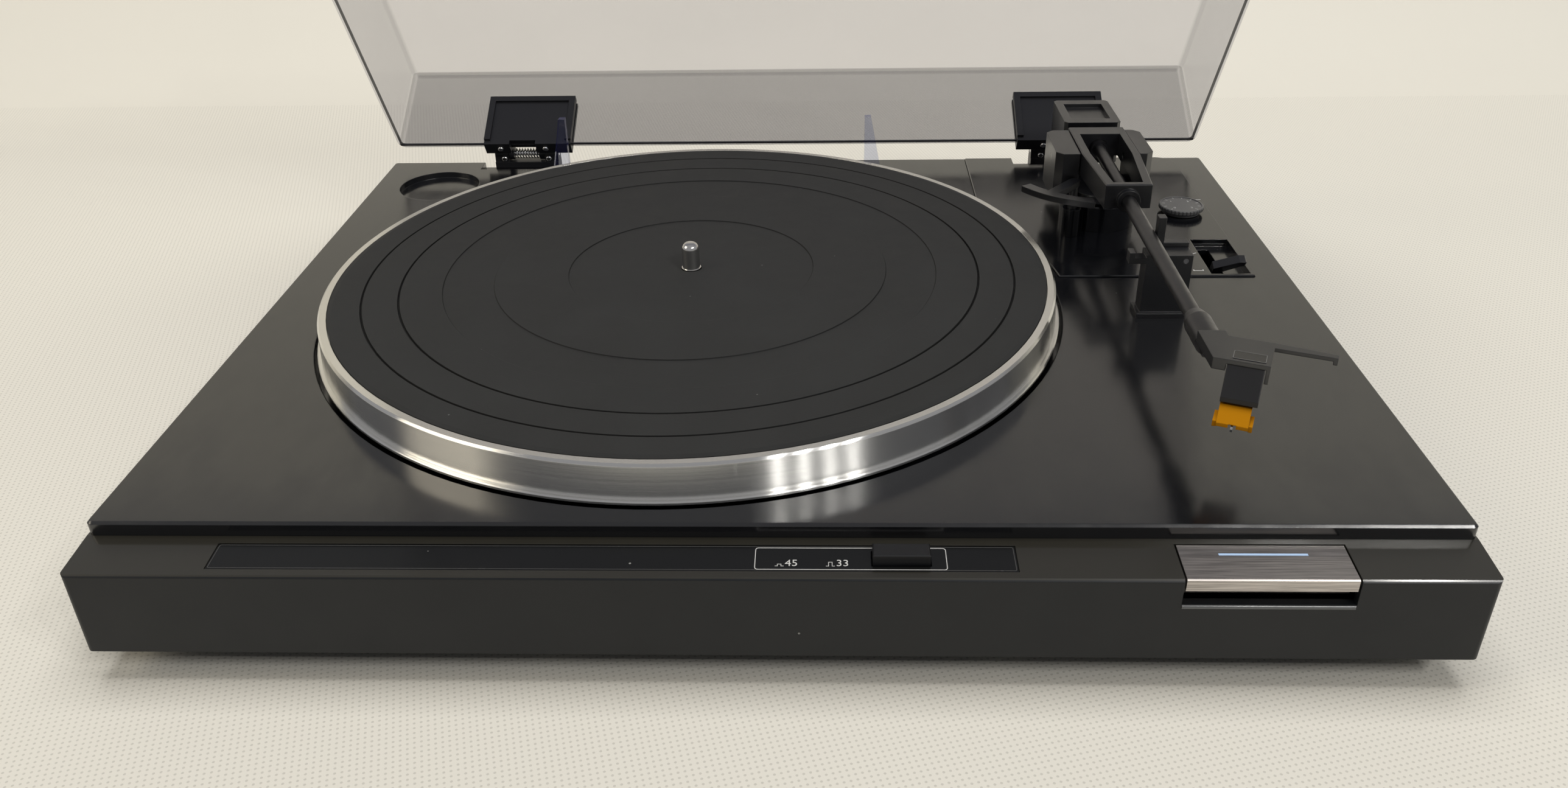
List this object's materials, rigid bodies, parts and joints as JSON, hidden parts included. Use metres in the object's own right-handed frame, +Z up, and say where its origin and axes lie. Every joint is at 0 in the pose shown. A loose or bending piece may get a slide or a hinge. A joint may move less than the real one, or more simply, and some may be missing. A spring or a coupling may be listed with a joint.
{
  "type": "record player",
  "caption": "Belt-driven record player with a low black plinth, bright-rimmed platter, straight tonearm on a gimbal and a hinged clear lid.",
  "frame": {"origin": "on the table, under the middle of the whole part's box with its lid open, level with the undersides of the foot pads", "axes": "+X to the right seen from the front, +Y to the back, +Z up"},
  "size_m": [0.43, 0.3866, 0.359],
  "materials": {
    "body_black": "fine satin moulding",
    "deck_black": "smooth satin black",
    "arm_grey": "satin dark grey",
    "tube_metal": "dark anodised",
    "platter_metal": "turned and polished rim",
    "black_rubber": "matte",
    "bright_steel": "polished",
    "plated_steel": "plated",
    "key_metal": "brushed lengthwise",
    "button_grey": "satin grey",
    "smoke_acrylic": "clear, lightly smoked",
    "clear_acrylic": "clear with a blue cast",
    "cartridge_black": "moulded black",
    "stylus_yellow": "moulded amber yellow",
    "stylus_metal": "drawn",
    "bearing_brass": "turned",
    "gear_white": "natural moulding",
    "board_green": "laminate",
    "slug_iron": "raw"
  },
  "bodies": {
    "base": {"plinth": "body_black", "control_strip": "deck_black", "speed_switch": "body_black", "deck": "deck_black", "arm_panel": "deck_black", "bottom_cover": "body_black", "cover_screws": "plated_steel", "feet": "body_black", "foot_pads": "black_rubber", "spindle_bearing": "bearing_brass", "thrust_ball": "bright_steel", "cam_post": "bright_steel", "motor": "plated_steel", "motor_bracket": "plated_steel", "motor_grommets": "black_rubber", "drive_belt": "black_rubber", "arm_base": "arm_grey", "arm_sleeve": "bearing_brass", "arm_rest": "arm_grey", "pivot_pins": "bright_steel", "clear_posts": "clear_acrylic", "hinge_bases": "body_black", "hinge_pins": "bright_steel", "hinge_springs": "bright_steel", "hinge_rivets": "bright_steel", "lead_bushings": "body_black", "earth_terminal": "plated_steel", "circuit_board": "board_green", "capacitors": "cartridge_black", "transformer": "plated_steel"},
    "lid": {"lid": "smoke_acrylic", "lid_bumpers": "black_rubber", "hinge_brackets": "body_black", "bracket_rivets": "bright_steel"},
    "platter": {"platter": "platter_metal", "slip_mat": "black_rubber", "spindle": "bright_steel", "hub_pinion": "gear_white"},
    "rotor": {"motor_shaft": "bright_steel", "pulley": "bearing_brass"},
    "return_cam": {"cam_gear": "gear_white"},
    "arm_swivel": {"yoke": "arm_grey", "swivel_shaft": "bright_steel", "pivot_screws": "bright_steel"},
    "tonearm": {"arm_frame": "arm_grey", "arm_tube": "tube_metal", "weight_stub": "tube_metal", "counterweight": "arm_grey", "balance_slug": "slug_iron", "ferrule": "tube_metal", "headshell": "arm_grey", "cartridge": "cartridge_black", "stylus_holder": "stylus_yellow", "stylus": "stylus_metal"},
    "lifter": {"arm_lifter": "arm_grey"},
    "cue": {"cue_lever": "arm_grey"},
    "latch": {"arm_latch": "arm_grey"},
    "dial": {"skating_dial": "button_grey"},
    "button": {"speed_button": "button_grey"},
    "key": {"return_key": "key_metal"}
  },
  "joints": [
    {"name": "lid_hinge", "type": "hinge", "parent": "base", "child": "lid", "pos_m": [0, 0.15717, 0.052], "axis": [-1, 0, 0], "range_deg": [-58.7, 0]},
    {"name": "platter_spin", "type": "hinge", "parent": "base", "child": "platter", "pos_m": [-0.038, -0.01603, 0.04], "axis": [0, 0, 1], "continuous": true},
    {"name": "motor_spin", "type": "hinge", "parent": "base", "child": "rotor", "pos_m": [-0.12568, 0.07165, 0.04], "axis": [0, 0, 1], "continuous": true},
    {"name": "cam_spin", "type": "hinge", "parent": "base", "child": "return_cam", "pos_m": [-0.00039, 0.01553, 0.041], "axis": [0, 0, 1], "continuous": true},
    {"name": "arm_swing", "type": "hinge", "parent": "base", "child": "arm_swivel", "pos_m": [0.144, 0.06689, 0.06], "axis": [0, 0, -1], "range_deg": [0, 51]},
    {"name": "arm_tilt", "type": "hinge", "parent": "arm_swivel", "child": "tonearm", "pos_m": [0.144, 0.06689, 0.08], "axis": [-1, 0, 0], "range_deg": [-0.8, 8]},
    {"name": "cue_turn", "type": "hinge", "parent": "base", "child": "cue", "pos_m": [0.186, 0.02567, 0.026], "axis": [-1, 0, 0], "range_deg": [0, 45]},
    {"name": "lifter_slide", "type": "slide", "parent": "base", "child": "lifter", "axis": [0, 0, 1], "range_m": [-0.0035, 0]},
    {"name": "latch_turn", "type": "hinge", "parent": "base", "child": "latch", "pos_m": [0.1579, -0.02381, 0.0726], "axis": [0, 1, 0], "range_deg": [0, 75]},
    {"name": "dial_turn", "type": "hinge", "parent": "base", "child": "dial", "pos_m": [0.1853, 0.07467, 0.051], "axis": [0, 0, -1], "range_deg": [0, 270]},
    {"name": "speed_press", "type": "slide", "parent": "base", "child": "button", "axis": [0, 0, -1], "range_m": [0, 0.0025], "stiffness_N_per_m": 400},
    {"name": "key_press", "type": "hinge", "parent": "base", "child": "key", "pos_m": [0.1485, -0.17313, 0.0371], "axis": [1, 0, 0], "range_deg": [0, 9], "stiffness_Nm_per_rad": 0.13, "springref_deg": -1.15}
  ],
  "couplings": [
    {"joint": "motor_spin", "follows": "platter_spin", "ratio": 16.667},
    {"joint": "cam_spin", "follows": "platter_spin", "ratio": -0.225},
    {"joint": "lifter_slide", "follows": "cue_turn", "m_per_rad": -0.0044563}
  ]
}
